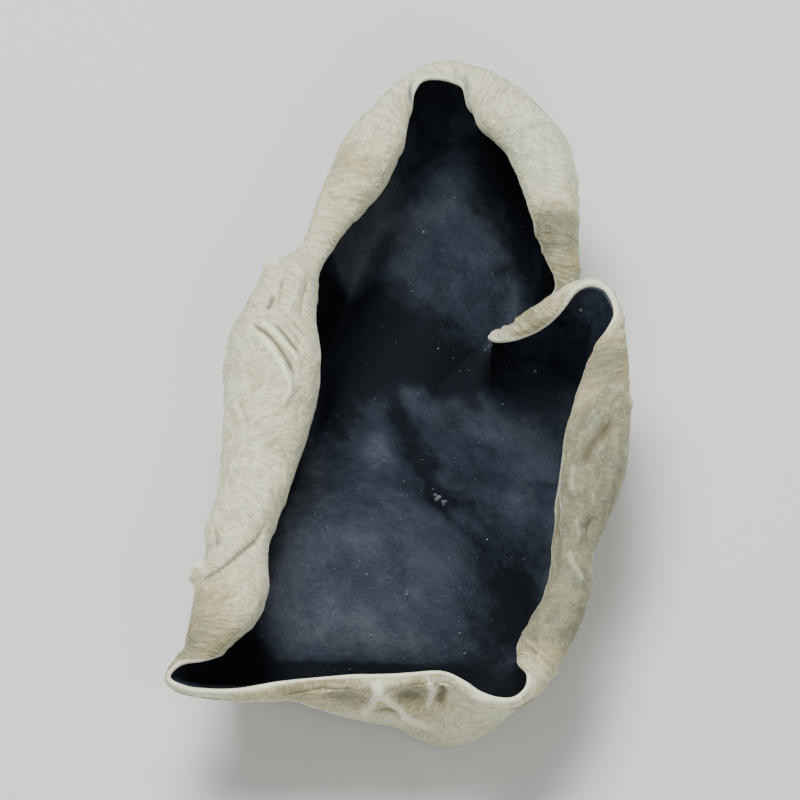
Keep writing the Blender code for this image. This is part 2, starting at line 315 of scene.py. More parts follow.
def floor_relief(sheet):
    """Height of the swellings of the floor, which die away as the wall starts."""
    height = np.zeros(sheet.shape[:2])
    for across, along, wide, long, rise in FLOOR_FORMS:
        apart = ((sheet[..., 0] - across) / wide) ** 2 + ((sheet[..., 1] - along) / long) ** 2
        height += rise * np.exp(-(apart**2))
    start, end = FORMS_FADE[0] * FLOOR_RINGS, FLOOR_RINGS + FORMS_FADE[1] * WALL_RINGS
    return height * (1 - smooth_step(start, end, np.arange(SHEET_RINGS + 1)))


def bells(row, table):
    """The sum of soft bells round the margin: middle and half width in rows, and height."""
    total = np.zeros(len(row))
    for middle, wide, height in table:
        apart = (row - middle + ROWS / 2) % ROWS - ROWS / 2
        total += height * np.exp(-((apart / wide) ** 2))
    return total


def fold_depth():
    """How far the folds of the wall sink inwards, deepest halfway up."""
    ring = np.arange(SHEET_RINGS + 1)
    low, high = (FLOOR_RINGS + share * WALL_RINGS for share in FOLD_DEEPEST)
    floor = smooth_step(FOLD_START * FLOOR_RINGS, FLOOR_RINGS, ring) * FLOOR_FOLD
    wall = smooth_step(FLOOR_RINGS, low, ring) * (1 - FLOOR_FOLD)
    rim = smooth_step(high, FLOOR_RINGS + WALL_RINGS, ring)
    return bells(STATION_ROWS, WALL_FOLDS)[:, None] * (floor + wall) * (1 - rim)


def middle_of_flesh():
    sheet = flat_sheet()
    sheet[..., 2] += floor_relief(sheet)
    sheet = calm_middle(settle(sheet))
    sheet += normals_of(sheet) * fold_depth()[..., None]
    sheet[..., 2] = np.maximum(sheet[..., 2], FLOOR_FLESH / 2 - PRESSED)
    return sheet


def rest_on_table(back):
    """Draws the back down to the flat cut of the stub, and presses its lowest folds flat."""
    away = np.hypot(back[..., 0] - STUB[0], back[..., 1] - STUB[1])
    height = back[..., 2]
    near = 1 - smooth_step(STUB_RADIUS, STUB_FLARE, away)
    low = 1 - smooth_step(STUB_FOOT, STUB_HEIGHT, height)
    back[..., 2] = np.maximum(height * (1 - near * low), 0)
    return back


def ear_points():
    """Rings of points from the middle of the dark face, over the free edge, to the back."""
    sheet = middle_of_flesh()
    stages = (0, FLOOR_RINGS, FLOOR_RINGS + WALL_RINGS, SHEET_RINGS)
    flesh = (FLOOR_FLESH, FLOOR_FLESH, RIM_FLESH, EDGE_FLESH)
    half = np.interp(np.arange(SHEET_RINGS + 1), stages, flesh)[:, None] / 2
    offset = normals_of(sheet) * half
    dark, back = sheet + offset, rest_on_table(sheet - offset)
    edge = sheet[:, -1:] + unit(sheet[:, -1:] - sheet[:, -2:-1]) * EDGE_FLESH / 2
    points = np.concatenate([dark, edge, back[:, ::-1]], axis=1)
    outline = points[..., :2].reshape(-1, 2)
    points[..., :2] -= (outline.min(axis=0) + outline.max(axis=0)) / 2
    return points


def through(values, place):
    """Values at places between the rows of the first axis, on a smooth curve through them."""
    last = len(values) - 1
    index = np.clip(place.astype(int), 0, last - 1)
    share = (place - index).reshape(-1, *[1] * (values.ndim - 1))
    four = (values[np.clip(index + step, 0, last)] for step in (-1, 0, 1, 2))
    return curve_between(*four, share)


# The steps of the fine mesh: how many round the ear, and outwards from ring to ring how many
FINE_STATIONS = 620
DARK_STEPS = ((0, 2, 4), (2, 9, 30), (9, 14, 10), (14, SHEET_RINGS, 6))
EDGE_STEPS = 4
BACK_STEPS = ((0, 2.5, 6), (2.5, 7, 54), (7, 12, 30), (12, 20, 13), (20, SHEET_RINGS, 3))

# Rows of the margin round which the steps are closer, for the creases there: middle, half
# width in rows, and how many more steps
CLOSER = [(7.6, 2.6, 1.5), (4.0, 3.5, 0.5), (48.0, 8.0, 0.8)]
COUNTING_STEPS = 20  # to each station, where the steps are counted out


def fine_stations():
    """Places of the fine mesh's steps among the stations."""
    place = np.linspace(0, STATIONS, COUNTING_STEPS * STATIONS + 1)
    density = 1 + bells(place * ROWS / STATIONS, CLOSER)
    steps = np.concatenate([[0], np.cumsum((density[1:] + density[:-1]) / 2)])
    return np.interp(np.arange(FINE_STATIONS) / FINE_STATIONS, steps / steps[-1], place)


def steps_through(stretches):
    runs = [np.linspace(first, last, count + 1)[1:] for first, last, count in stretches]
    return np.concatenate([[0.0], *runs])


def fine_points(points):
    """The same sheet in finer steps, with the free edge rounded, and the ring of each step."""
    closed = np.concatenate([points[-1:], points, points[:2]])
    around = through(closed, 1 + fine_stations()).swapaxes(0, 1)
    dark_places, back_places = steps_through(DARK_STEPS), steps_through(BACK_STEPS)
    dark = through(around[: SHEET_RINGS + 1], dark_places)
    back = through(around[SHEET_RINGS + 2 :], back_places)
    middle, half = (dark[-1] + back[0]) / 2, (dark[-1] - back[0]) / 2
    angles = np.linspace(0, math.pi, EDGE_STEPS + 2)[1:-1, None, None]
    edge = middle + half * np.cos(angles) + (around[SHEET_RINGS + 1] - middle) * np.sin(angles)
    edge_places = SHEET_RINGS + 2 * np.linspace(0, 1, EDGE_STEPS + 2)[1:-1]
    places = np.concatenate([dark_places, edge_places, back_places + SHEET_RINGS + 2])
    return np.concatenate([dark, edge, back]).swapaxes(0, 1), places


MM = 0.001  # one millimetre, in which the sheet is laid out, in Blender's metres
points, ring_places = fine_points(ear_points())
rings = points.shape[1] - 1
bpy.ops.object.select_all(action="DESELECT")
bpy.ops.mesh.primitive_uv_sphere_add(segments=FINE_STATIONS, ring_count=rings, radius=1.0)
ear = bpy.context.object
ear.name = ear.data.name = "ear"

# The ball's rings are laid over the ear: its north is the dark face, its equator the free
# edge, and its south the back. Each point keeps its turn round the ear, and its way in
# millimetres from the middle of the dark face, over the edge, to the middle of the back.
ball = np.array([vertex.co[:] for vertex in ear.data.vertices])
ring = np.rint(np.arccos(np.clip(ball[:, 2], -1, 1)) / math.pi * rings).astype(int)
station = np.rint(-np.arctan2(ball[:, 1], ball[:, 0]) / math.tau * FINE_STATIONS).astype(int)
station %= FINE_STATIONS
ear.data.vertices.foreach_set("co", (points[station, ring] * MM).ravel())
steps = np.linalg.norm(np.diff(points, axis=1), axis=2)
ways = np.concatenate([np.zeros((FINE_STATIONS, 1)), np.cumsum(steps, axis=1)], axis=1)
edge_ring = int(np.argmin(np.abs(ring_places - SHEET_RINGS - 1)))
girth = np.linalg.norm(np.diff(points[:, edge_ring], axis=0), axis=1).sum() / math.tau
turn = fine_stations()[station] / STATIONS * math.tau
grain = np.stack([girth * np.cos(turn), girth * np.sin(turn), ways[station, ring]], axis=1)
rings_out = ring_places[ring]


def keep(name, values):
    """Keeps a number for each point of the ear, which its materials can read."""
    attribute = ear.data.attributes.new(name, "FLOAT", "POINT")
    attribute.data.foreach_set("value", np.asarray(values, np.float32))


for name, values in zip(("turn_x", "turn_y", "way", "rings"), (*grain.T, rings_out)):
    keep(name, values)
on_back = rings_out > SHEET_RINGS + 0.5
corners = np.zeros(len(ear.data.loops), np.int32)
ear.data.loops.foreach_get("vertex_index", corners)
starts = np.zeros(len(ear.data.polygons), np.int32)
ear.data.polygons.foreach_get("loop_start", starts)
felt_faces = np.maximum.reduceat(on_back[corners], starts)
ear.data.polygons.foreach_set("material_index", felt_faces.astype(np.int32))
ear.data.shade_smooth()
ear.data.update()


# ---- Creases, dents and wrinkles ---------------------------------------------------------
# Drying drew the sheet into creases where it had to fold over itself, into dents in the
# thinner rolls, and into fine wrinkles all over. They are worked into the fine mesh here.

# Creases of the felt: height of the ridge, or depth of the groove if it is less than
# nothing, half width, and the points that it follows
CREASES = [
    # the swirl on the left roll: two ridges with a groove between, hooked round at their foot
    (0.42, 0.28, [
        (-13.4, 4.4, 16.1), (-13.0, 3.8, 16.3), (-11.6, 1.5, 17.0), (-10.7, 0.1, 16.8),
        (-10.0, -1.1, 16.6), (-9.7, -2.1, 16.4), (-9.8, -3.2, 16.2), (-10.6, -4.2, 16.2),
        (-12.0, -4.5, 16.2),
    ]),
    (-0.44, 0.20, [
        (-12.7, 3.9, 16.5), (-12.4, 3.4, 16.6), (-11.2, 1.9, 17.0), (-9.8, 0.0, 16.7),
        (-9.2, -0.9, 16.5), (-8.9, -2.0, 16.1),
    ]),
    (0.36, 0.24, [
        (-12.3, 4.3, 16.6), (-11.9, 3.7, 16.7), (-10.8, 2.4, 17.0), (-9.3, 0.4, 16.6),
        (-8.8, -0.6, 16.2),
    ]),
    (-0.38, 0.22, [(-11.2, 3.9, 17.0), (-10.2, 2.7, 16.9), (-9.3, 1.5, 16.6), (-8.5, 0.5, 16.1)]),
    (-0.22, 0.25, [(-10.4, 4.4, 16.9), (-9.7, 3.3, 16.8), (-8.9, 2.3, 16.5), (-8.3, 1.5, 16.0)]),
    (-0.20, 0.25, [(-9.3, 4.4, 16.7), (-8.7, 3.2, 16.5), (-8.1, 2.4, 15.9)]),
    (-0.34, 0.30, [(-11.2, 6.8, 16.4), (-11.2, 5.8, 16.6), (-11.5, 4.9, 16.7)]),
    (-0.24, 0.26, [(-9.8, 9.5, 16.4), (-10.3, 8.0, 16.5), (-10.6, 6.5, 16.6), (-10.7, 5.0, 16.8)]),
    (0.24, 0.30, [(-8.9, 9.2, 16.3), (-9.1, 7.4, 16.3), (-9.6, 5.5, 16.5), (-9.7, 4.4, 16.7)]),
    (-0.22, 0.25, [(-8.3, 9.1, 15.9), (-8.4, 7.4, 15.9), (-8.7, 5.5, 16.1), (-8.5, 4.3, 16.3)]),
    # the wrinkles on its outer flank
    (0.10, 0.34, [
        (-15.0, -2.3, 14.6), (-14.3, -3.8, 15.3), (-13.7, -5.4, 15.6), (-13.5, -6.6, 15.6),
    ]),
    (-0.20, 0.28, [
        (-14.5, -2.2, 14.9), (-13.7, -3.8, 15.6), (-13.1, -5.5, 15.8), (-12.9, -6.6, 15.7),
    ]),
    (0.14, 0.28, [(-15.3, -3.2, 14.1), (-15.0, -4.8, 14.4), (-15.0, -6.1, 14.2)]),
    # the step at the shoulder, and the low tuft with the oblique crease that runs up from it
    (0.55, 0.50, [(-11.6, 10.5, 14.6), (-11.2, 10.3, 15.4), (-10.4, 9.8, 16.1)]),
    (-0.60, 0.60, [(-10.9, 11.7, 14.4), (-10.2, 11.5, 15.4), (-9.4, 11.2, 16.0)]),
    (0.75, 0.36, [
        (-17.2, -20.0, 12.2), (-17.1, -19.4, 12.8), (-17.0, -18.8, 13.9), (-16.8, -18.4, 14.6),
    ]),
    (-0.32, 0.24, [
        (-18.2, -21.3, 12.8), (-17.5, -20.7, 13.8), (-16.4, -20.1, 14.9), (-15.5, -19.7, 15.3),
        (-14.4, -18.9, 15.6), (-13.2, -17.8, 15.4), (-12.3, -16.6, 15.0), (-11.6, -15.1, 14.6),
        (-11.1, -14.1, 14.4),
    ]),
    (0.14, 0.36, [
        (-16.2, -19.4, 14.9), (-15.2, -18.9, 15.4), (-14.2, -18.1, 15.6), (-13.0, -17.0, 15.4),
    ]),
    (-0.26, 0.30, [(-16.0, -15.1, 14.5), (-15.8, -16.4, 15.1), (-15.7, -17.7, 15.2)]),
    # the oblique groove, the ridge and the hollow beside it on the right roll
    (-0.60, 0.42, [
        (19.2, -4.5, 15.2), (18.2, -5.5, 15.4), (17.3, -6.8, 15.5), (16.6, -7.8, 15.4),
        (16.0, -9.1, 15.2), (15.7, -10.4, 15.1),
    ]),
    (0.15, 0.50, [
        (18.5, -3.6, 15.4), (17.2, -5.0, 15.6), (16.3, -6.2, 15.5), (15.4, -7.6, 15.2),
        (15.0, -9.2, 14.9),
    ]),
    (0.25, 0.44, [
        (15.2, -8.6, 14.9), (15.0, -9.9, 14.9), (14.9, -11.5, 14.8), (15.0, -13.0, 14.8),
    ]),
    (0.22, 0.42, [(15.2, -14.0, 14.8), (15.3, -15.3, 14.7), (15.5, -17.0, 14.6)]),
    (0.25, 0.44, [
        (14.7, -16.6, 14.6), (14.5, -18.1, 14.6), (15.2, -19.8, 14.4), (15.8, -21.2, 14.0),
    ]),
    (-0.24, 0.22, [
        (16.4, -9.2, 15.0), (16.9, -10.2, 14.9), (16.5, -11.3, 14.8), (16.9, -12.2, 14.4),
    ]),
    (-0.22, 0.20, [(17.8, -7.9, 15.0), (17.3, -8.9, 15.0), (17.5, -9.9, 14.7)]),
    (-0.20, 0.20, [(15.9, -11.6, 14.9), (16.1, -12.9, 14.8), (15.8, -13.9, 14.8)]),
    (-0.45, 0.48, [
        (13.9, -9.5, 13.8), (13.7, -12.9, 13.6), (13.5, -14.5, 13.8), (13.5, -16.7, 14.1),
        (13.3, -18.4, 14.1), (13.7, -20.3, 14.3),
    ]),
    (0.18, 0.32, [
        (17.5, -9.2, 15.1), (17.2, -10.9, 15.0), (16.6, -12.6, 14.9), (17.5, -13.2, 14.1),
    ]),
    (-0.28, 0.30, [(16.6, -14.2, 14.5), (16.2, -15.6, 14.5), (16.4, -17.4, 14.0)]),
    (-0.24, 0.26, [(10.8, -24.7, 13.6), (11.1, -25.7, 14.3), (11.8, -26.2, 14.5)]),
    (-0.24, 0.26, [(10.6, -26.4, 13.9), (11.2, -27.0, 14.2), (11.9, -27.7, 14.3)]),
    # the ridges and facets of the front wall
    (0.60, 0.42, [
        (-2.2, -29.7, 14.1), (-2.0, -30.1, 13.5), (-2.4, -30.0, 11.6), (-2.9, -29.7, 9.4),
        (-3.3, -29.3, 6.7),
    ]),
    (0.65, 0.46, [
        (-2.2, -29.7, 14.1), (-1.7, -30.1, 13.4), (-0.7, -29.9, 11.3), (0.6, -29.7, 8.5),
        (2.1, -29.7, 6.1), (3.4, -29.8, 4.8),
    ]),
    (0.45, 0.40, [
        (2.2, -29.7, 14.4), (2.5, -30.0, 13.8), (2.7, -29.9, 12.4), (2.6, -29.9, 10.3),
        (2.3, -29.9, 8.2),
    ]),
    (-0.45, 0.34, [(3.4, -29.9, 13.6), (3.5, -30.1, 12.0), (3.2, -29.9, 9.2)]),
    (0.28, 0.26, [(-5.6, -29.8, 13.8), (-5.4, -29.9, 11.9)]),
    (0.24, 0.40, [
        (-16.4, -30.4, 12.6), (-14.2, -30.6, 12.0), (-12.0, -29.9, 10.8), (-9.8, -29.4, 9.4),
        (-7.6, -28.8, 7.7), (-5.4, -28.7, 6.3), (-3.0, -28.6, 5.1), (-0.6, -29.0, 4.7),
    ]),
    (0.20, 0.40, [(4.1, -29.8, 4.4), (5.6, -30.0, 5.2), (7.1, -29.9, 6.6), (8.9, -30.1, 8.8)]),
]

# Dents and swellings of the felt: middle, half width, depth
DENTS = [
    ((-12.4, -1.2, 16.3), 1.7, 0.55),
    ((-17.0, -17.2, 13.4), 1.3, 0.45),
    ((12.9, 13.6, 14.6), 1.3, 0.65),
    ((0.8, -29.9, 11.6), 1.0, 0.50),
    ((-1.0, -29.6, 8.6), 1.2, 0.45),
    ((-7.5, -29.6, 10.5), 2.4, 0.35),
    ((6.0, -30.8, 12.0), 1.8, -0.40),
    ((17.4, -10.6, 14.6), 1.0, 0.35),
    ((16.6, -15.0, 14.4), 1.1, 0.35),
    ((18.6, -1.0, 14.8), 1.3, 0.30),
    ((-15.6, -10.5, 14.0), 1.6, 0.30),
    ((-5.6, 20.6, 15.4), 1.4, 0.30),
    ((-3.4, 18.2, 16.4), 1.1, -0.25),
]

# Pits and weals of the dark face: middle, half width, depth
PITS = [
    ((3.2, -7.3, 5.6), 0.80, 0.50),
    ((3.4, -6.2, 5.4), 1.6, 0.25),
    ((10.3, -5.3, 2.9), 2.2, -0.50),
    ((-5.7, -20.7, 5.8), 2.6, -0.30),
    ((-1.7, -0.5, 3.7), 1.6, -0.35),
    ((1.5, -14.6, 6.0), 2.2, 0.25),
    ((8.0, -17.0, 5.2), 2.2, 0.30),
    ((-6.5, -5.0, 4.7), 2.0, 0.25),
]

# Grooves and ridges of the dark face, as those of the felt
FURROWS = [
    (-0.30, 1.6, [
        (-2.4, 7.3, 2.8), (-0.8, 4.5, 2.8), (1.2, -0.2, 3.7), (2.8, -4.7, 5.0), (3.6, -7.0, 5.5),
    ]),
    (0.20, 1.4, [(-2.4, 4.6, 2.6), (-1.2, 1.8, 3.3), (0.0, -1.9, 4.1)]),
    (-0.20, 1.2, [(3.6, -7.0, 5.5), (6.0, -4.0, 4.6), (7.5, 0.0, 2.8)]),
]


OCTAVE_SHIFT = 7.3  # sets the finer layers of a noise off from the broad one


def fractal(places, size, detail, seed):
    """Soft noise of about -1 to 1, whose broadest lumps are size across."""
    total, share = np.zeros(len(places)), 1.0
    for octave in range(detail):
        scaled = places * (2.0**octave / size) + seed + octave * OCTAVE_SHIFT
        total += share * np.array([noise.noise(Vector(place)) for place in scaled])
        share *= 0.5
    return total


def drift(places, size, seeds):
    """A soft shift for each place, with a noise of its own along each axis."""
    return np.stack([fractal(places, size, 1, seed) for seed in seeds], axis=1)


def lined(places, size, seed):
    """Winding lines, about size apart: 1 on a line, and less away from it."""
    return 1 - 2.2 * np.abs(fractal(places, size, 1, seed))


CURVE_STEPS = 6  # straight stretches between two points of a course
TAPER = 0.30  # share of a crease's length over which it runs out at each end
END_WIDTH = 0.7  # its width there over that of its middle
SHARP_SHARE = 0.55  # share of its height that is in a sharp line, and the rest is in its flanks
FLANK_WIDTH = 2.8  # width of the flanks over that of the line
REACH = 8  # half widths past which it has died away
PLAIN_RISE = 0.4  # from which height a ridge or a groove is seen in the colour at its full


def nearest_on(course, places):
    """How far each place is from a smooth curve through the course, and its share of the way
    along it."""
    rows = np.array(course, float)
    count = CURVE_STEPS * (len(rows) - 1)
    curve = through(rows, np.linspace(0, len(rows) - 1, count + 1))
    apart, along = np.full(len(places), np.inf), np.zeros(len(places))
    for index, (start, end) in enumerate(zip(curve, curve[1:])):
        stretch = end - start
        share = np.clip((places - start) @ stretch / (stretch @ stretch), 0, 1)
        away = np.linalg.norm(places - start - share[:, None] * stretch, axis=1)
        closer = away < apart
        apart[closer] = away[closer]
        along[closer] = (index + share[closer]) / count
    return apart, along


def raised(courses, places):
    """Height of the ridges and grooves, each a sharp line with broad flanks, and how near
    each place is to the crest of a ridge and to the cleft of a groove. The courses are laid
    on the nearest places first."""
    height, crest, cleft = np.zeros((3, len(places)))
    for rise, wide, course in courses:
        course = [places[np.argmin(((places - spot) ** 2).sum(axis=1))] for spot in course]
        reach = REACH * wide
        low, high = np.min(course, axis=0) - reach, np.max(course, axis=0) + reach
        near = np.flatnonzero(((places > low) & (places < high)).all(axis=1))
        apart, along = nearest_on(course, places[near])
        taper = smooth_step(0, TAPER, along) * smooth_step(0, TAPER, 1 - along)
        apart /= wide * (END_WIDTH + (1 - END_WIDTH) * taper)
        sharp, flanks = np.exp(-(apart**1.5)), np.exp(-((apart / FLANK_WIDTH) ** 1.4))
        height[near] += rise * taper * (SHARP_SHARE * sharp + (1 - SHARP_SHARE) * flanks)
        line = np.exp(-(apart**2)) * taper * min(abs(rise) / PLAIN_RISE, 1.0)
        seen = crest if rise > 0 else cleft
        seen[near] = np.maximum(seen[near], line)
    return height, crest, cleft


def patches(table, places):
    """The sum of soft round patches: middle, half width, and depth or share."""
    total = np.zeros(len(places))
    for middle, wide, share in table:
        total += share * np.exp(-((np.linalg.norm(places - middle, axis=1) / wide) ** 2))
    return total


DRAWN = 0.6  # share of the way to its neighbours' mean that each pass draws a value


def averaged(values, passes):
    """The values of the ear's points, each drawn towards those of its neighbours."""
    edges = np.zeros(len(ear.data.edges) * 2, np.int32)
    ear.data.edges.foreach_get("vertices", edges)
    start, end = edges.reshape(-1, 2).T
    count = len(values)
    neighbours = np.bincount(start, minlength=count) + np.bincount(end, minlength=count)
    for _ in range(passes):
        total = np.bincount(start, values[end], count) + np.bincount(end, values[start], count)
        values = (1 - DRAWN) * values + DRAWN * total / neighbours
    return values


def eased(places, share, passes):
    """The places drawn towards their neighbours, by the share that each is free to move."""
    for axis in range(3):
        places[:, axis] += share * (averaged(places[:, axis], passes) - places[:, axis])
    return places


def laid(places):
    """Lays the ear's points at their places in millimetres, and gives their normals."""
    ear.data.vertices.foreach_set("co", (places * MM).ravel())
    ear.data.update()
    return np.array([normal.vector[:] for normal in ear.data.vertex_normals])


# The floor of the fine mesh is smoothed, but for its very middle
SMOOTHING = 24  # passes
floor_share = smooth_step(0.5, 2.0, rings_out) * (1 - smooth_step(9.0, 12.0, rings_out))
places = eased(points[station, ring], floor_share, SMOOTHING)
normals = laid(places)

# The rings count on from the dark face over the free edge to the felt, so they tell how far a
# point belongs to the felt, to the free edge, and to what the roll hides of the dark face
felted = smooth_step(SHEET_RINGS, SHEET_RINGS + 1.5, rings_out)
free_edge = 1 - smooth_step(0.0, 3.0, np.abs(rings_out - SHEET_RINGS - 1))
hidden = smooth_step(SHEET_RINGS - 3, SHEET_RINGS - 1, rings_out) * (1 - felted)

# The fine wrinkles of the felt, which run in the grain of the sheet: rises in millimetres
ROUND_RISE = 0.10  # of those that run round the ear
OUTWARD_RISE = 0.08  # of those that run outwards
FINE_RISE = 0.17
LUMP_RISE = 0.35  # of the low lumps under them
GRAIN_DRIFT = 3.0  # how far the grain wanders
COURSE_DRIFT = 0.12  # how far a crease wanders from its course
EDGE_CALM = 0.7  # share of its relief that the felt loses at the free edge

drifted = grain + GRAIN_DRIFT * drift(places, 9.0, (5.0, 15.0, 25.0))
patchy = np.clip(0.65 + 0.9 * fractal(places, 6.0, 2, 71.0), 0.15, 1.3)
running_round = lined(drifted * (0.45, 0.45, 1.0), 2.4, 3.0)
running_out = lined(drifted * (1.0, 1.0, 0.40), 2.8, 21.0)
fine = fractal(drifted * (0.8, 0.8, 1.0), 1.2, 2, 31.0)
lumps = fractal(places, 6.5, 2, 11.0)
wrinkles = (ROUND_RISE * running_round + OUTWARD_RISE * running_out + FINE_RISE * fine) * patchy
wobble = COURSE_DRIFT * drift(places, 1.8, (41.0, 53.0, 67.0))
creased, crest, cleft = raised(CREASES, places + wobble)
felt_relief = creased - patches(DENTS, places) + wrinkles + LUMP_RISE * lumps
felt_relief *= 1 - EDGE_CALM * free_edge

# The soft waves of the dark face: rise, size and seed
WAVES = [(0.22, 7.5, 37.0), (0.05, 2.2, 51.0)]
waves = sum(rise * fractal(places, size, 2, seed) for rise, size, seed in WAVES)
dark_relief = raised(FURROWS, places)[0] - patches(PITS, places) + waves
dark_relief *= 1 - hidden

FULL_HEIGHT = 17.25  # over which the relief is halved, as the rolls are no taller than that
flat_cut = 1 - smooth_step(0.0, 1.0, places[:, 2])
relief = felt_relief * felted + dark_relief * (1 - felted)
relief *= 1 - flat_cut * felted
moved = places + normals * relief[:, None]
moved[:, 2] = np.maximum(moved[:, 2], 0.0)
moved[:, 2] -= 0.5 * np.maximum(moved[:, 2] - FULL_HEIGHT, 0.0)
normals = laid(moved)

# What the colours follow: how far a point stands proud of those round it, the creases, and the
# rim of the ear, where the felt's normal is near level. The felt is painted darker in hollows and
# grooves as painted shade, paler on raised parts and crests as wear and painted highlight, and
# paler on the rim as painted highlight.
PROUD_PASSES = 14  # that average the relief round a point
RIM_TILT = 0.12  # the normal's height on the rim
RIM_SPREAD = 0.22  # and how far from it the rim still shows
keep("proud", relief - averaged(relief, PROUD_PASSES))
keep("crest", crest * (1 - 0.5 * free_edge))
keep("cleft", cleft)
# A painted highlight along the rim, where the felt turns sideways, standing in for the sheen there
rim = np.exp(-(((normals[:, 2] - RIM_TILT) / RIM_SPREAD) ** 2))
rim *= smooth_step(SHEET_RINGS, SHEET_RINGS + 1, rings_out)
keep("rim", rim * (1 - smooth_step(SHEET_RINGS + 5, SHEET_RINGS + 6.5, rings_out)))

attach(ear, "root")
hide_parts("fruit_body")


# ---- The spore face ----------------------------------------------------------------------
# The dark inside, a smooth satin skin that dried blue-black. A thin bloom of spores greys it
# over the swellings, where painted light also lightens it, and painted shade darkens it in the
# valleys, behind the rims and in the spouts. A few specks of dust and spore lie on it.


class Socket:
    """An output of a shader node that sums and products can be written with."""

    tree = None

    def __init__(self, output):
        self.output = output

    @classmethod
    def node(cls, kind, settings=None, output=0, **inputs):
        """Makes a node and gives one of its outputs. An input is called by its name, or by its
        number after a _ where several inputs share a name."""
        made = cls.tree.nodes.new(kind)
        for name, value in (settings or {}).items():
            setattr(made, name, value)
        cls.feed(made, **inputs)
        return cls(made.outputs[output])

    @classmethod
    def feed(cls, made, **inputs):
        """Links or sets the inputs of a node."""
        for name, value in inputs.items():
            key = int(name[1:]) if name[0] == "_" else name.replace("_", " ")
            if isinstance(value, Socket):
                cls.tree.links.new(value.output, made.inputs[key])
            else:
                made.inputs[key].default_value = value

    def math(self, operation, other, swap=False):
        first, second = (other, self) if swap else (self, other)
        return self.node("ShaderNodeMath", {"operation": operation}, _0=first, _1=second)

    def __add__(self, other):
        return self.math("ADD", other)

    def __mul__(self, other):
        return self.math("MULTIPLY", other)

    def __sub__(self, other):
        return self.math("SUBTRACT", other)

    def __rsub__(self, other):
        return self.math("SUBTRACT", other, swap=True)

    __radd__, __rmul__ = __add__, __mul__

    def between(self, low, high):
        """0 below low, 1 above high, and smooth in between."""
        return self.node(
            "ShaderNodeMapRange", {"interpolation_type": "SMOOTHSTEP"},
            Value=self, From_Min=low, From_Max=high,
        )


def start_material(name):
    made = bpy.data.materials.new(name)
    made.use_nodes = True
    Socket.tree = made.node_tree
    return made, made.node_tree.nodes["Principled BSDF"]


def millimetres():
    """Places on the piece, in millimetres."""
    place = Socket.node("ShaderNodeTexCoord", output="Object")
    return Socket.node("ShaderNodeVectorMath", {"operation": "SCALE"}, _0=place, Scale=1000.0)


def own(name):
    """A number that the mesh keeps for each of its points."""
    return Socket.node("ShaderNodeAttribute", {"attribute_name": name}, output="Fac")


def cloud(place, scale, detail=2.0, roughness=0.5, distortion=0.0):
    """Noise of 0 to 1, with scale lumps to a millimetre."""
    return Socket.node(
        "ShaderNodeTexNoise", Vector=place, Scale=scale, Detail=detail,
        Roughness=roughness, Distortion=distortion,
    )


def grains(place, scale):
    """Distance to the nearest of scattered grains, with scale grains to a millimetre."""
    return Socket.node("ShaderNodeTexVoronoi", {"feature": "F1"}, Vector=place, Scale=scale)


def blend(share, first, second):
    """The first colour where share is 0, the second where it is 1."""
    return Socket.node(
        "ShaderNodeMix", {"data_type": "RGBA"}, output=2, _0=share, _6=first, _7=second,
    )


def coated(colour, *coats):
    """A colour under coats of others: how much of each, and its colour."""
    for share, over in coats:
        colour = blend(share, colour, over)
    return colour


def bump(height, distance):
    return Socket.node("ShaderNodeBump", Distance=distance, Height=height)


NIGHT = (0.0018, 0.0026, 0.0045, 1)  # the bare skin, and painted shade in the valleys
SLATE = (0.0140, 0.0190, 0.0275, 1)  # under its bloom
BLOOM_AND_PAINTED_LIGHT = (0.060, 0.067, 0.082, 1)  # where the bloom lies thick, and painted light on the swellings and in the left roll's shadow
SPECK = (0.20, 0.23, 0.27, 1)
WORN_EDGE_AND_GLINT = (0.24, 0.28, 0.36, 1)  # the skin where it is scuffed beside the free edge, with a painted highlight of its sheen
STREAK_TURN = (0.0, 0.0, -0.9)  # the streaks of the bloom run aslant of the ear
STREAK_LENGTH = (3.0, 1.0, 1.5)  # and are drawn out along their own axes
SKIN_GRAIN = 0.00007  # how far the grain of the skin stands up, in metres
